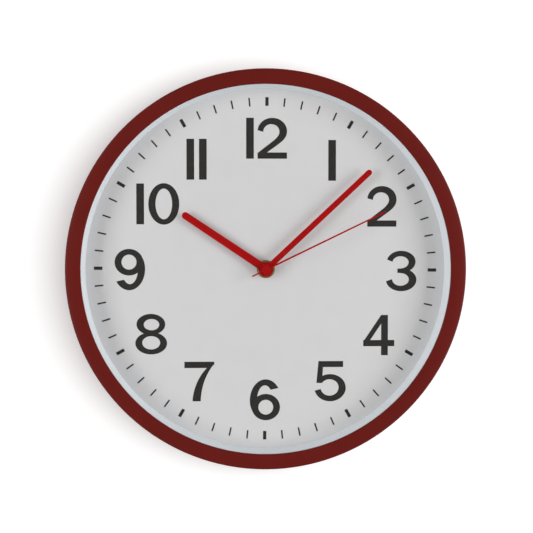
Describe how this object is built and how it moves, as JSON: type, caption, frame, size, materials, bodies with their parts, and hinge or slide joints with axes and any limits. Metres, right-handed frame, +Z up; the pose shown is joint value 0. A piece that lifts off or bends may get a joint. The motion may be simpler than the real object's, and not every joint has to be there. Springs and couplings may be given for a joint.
{
  "type": "wall clock",
  "caption": "Round quartz wall clock with a shallow plastic ring case, flat lens, numbered dial, straight hands and a battery movement on a keyhole hanger.",
  "frame": {"origin": "where the hands' axis meets the wall: the centre of the case's back rim, in the plane of the wall", "axes": "+Z up, +Y into the wall, so the dial faces -Y; +X to the right as seen from the front"},
  "size_m": [0.3, 0.043, 0.3],
  "materials": {
    "case_plastic": "moulded, matte, burgundy",
    "lens_glass": "clear, polished",
    "ring_plastic": "satin, cool white",
    "dial_print": "matt white, printed black",
    "back_plastic": "moulded, fine texture",
    "steel": "zinc plated",
    "rubber": "plain",
    "brass": "turned",
    "movement_plastic": "moulded, fine texture",
    "train_plastic": "natural acetal",
    "board": "paper laminate",
    "resin": "cast drop",
    "copper": "enamelled wire",
    "soft_iron": "stamped",
    "magnet": "sintered",
    "contact_steel": "nickel plated",
    "hand_paint": "satin red",
    "cell_sleeve": "plain shrunk sleeve"
  },
  "bodies": {
    "case": {"case_ring": "case_plastic", "lens": "lens_glass", "inner_ring": "ring_plastic", "dial": "dial_print", "back_plate": "back_plastic", "case_screws": "steel", "hanger": "steel", "rubber_washer": "rubber", "brass_washer": "brass", "hex_nut": "brass", "movement_case": "movement_plastic", "rear_cover": "movement_plastic", "threaded_bush": "brass", "gear_plate": "train_plastic", "circuit_board": "board", "chip": "resin", "crystal": "contact_steel", "coil_core": "soft_iron", "coil_bobbin": "train_plastic", "coil_winding": "copper", "stator": "soft_iron", "positive_contact": "contact_steel", "negative_contact": "contact_steel"},
    "seconds_train": {"seconds_wheel": "train_plastic", "seconds_arbor": "contact_steel", "second_hand": "hand_paint", "second_hand_tube": "brass", "second_hand_cap": "hand_paint"},
    "intermediate_set": {"intermediate_wheel": "train_plastic"},
    "rotor_set": {"rotor_magnet": "magnet", "rotor_pinion": "train_plastic"},
    "third_set": {"third_wheel": "train_plastic"},
    "centre_set": {"centre_wheel": "train_plastic"},
    "minute_set": {"minute_pipe": "brass", "clutch_spring": "brass", "minute_hand": "hand_paint"},
    "motion_work_set": {"minute_work_wheel": "train_plastic", "setting_knob": "movement_plastic"},
    "hour_set": {"hour_wheel": "train_plastic", "hour_hand": "hand_paint"},
    "cell": {"cell_body": "cell_sleeve", "cell_positive_cap": "contact_steel", "cell_negative_cap": "contact_steel"}
  },
  "joints": [
    {"name": "second_spin", "type": "hinge", "parent": "case", "child": "seconds_train", "pos_m": [0, -0.015, 0], "axis": [0, 1, 0], "continuous": true},
    {"name": "intermediate_spin", "type": "hinge", "parent": "case", "child": "intermediate_set", "pos_m": [0.00552, -0.015, -0.00463], "axis": [0, 1, 0], "continuous": true},
    {"name": "rotor_spin", "type": "hinge", "parent": "case", "child": "rotor_set", "pos_m": [0.01241, -0.015, -0.00584], "axis": [0, 1, 0], "continuous": true},
    {"name": "third_spin", "type": "hinge", "parent": "case", "child": "third_set", "pos_m": [-0.00904, -0.015, -0.00159], "axis": [0, 1, 0], "continuous": true},
    {"name": "centre_spin", "type": "hinge", "parent": "case", "child": "centre_set", "pos_m": [0, -0.015, 0], "axis": [0, 1, 0], "continuous": true},
    {"name": "minute_spin", "type": "hinge", "parent": "case", "child": "minute_set", "pos_m": [0, -0.015, 0], "axis": [0, 1, 0], "continuous": true},
    {"name": "setting_spin", "type": "hinge", "parent": "case", "child": "motion_work_set", "pos_m": [0.0048, -0.015, 0.00831], "axis": [0, 1, 0], "continuous": true},
    {"name": "hour_spin", "type": "hinge", "parent": "case", "child": "hour_set", "pos_m": [0, -0.015, 0], "axis": [0, 1, 0], "continuous": true},
    {"name": "cell_slide", "type": "slide", "parent": "case", "child": "cell", "axis": [0, 1, 0], "range_m": [0, 0.025]}
  ],
  "couplings": [
    {"joint": "intermediate_spin", "follows": "second_spin", "ratio": -5},
    {"joint": "rotor_spin", "follows": "second_spin", "ratio": 30},
    {"joint": "third_spin", "follows": "second_spin", "ratio": -0.13333},
    {"joint": "centre_spin", "follows": "second_spin", "ratio": 0.016667},
    {"joint": "setting_spin", "follows": "minute_spin", "ratio": -0.33333},
    {"joint": "hour_spin", "follows": "minute_spin", "ratio": 0.083333}
  ]
}
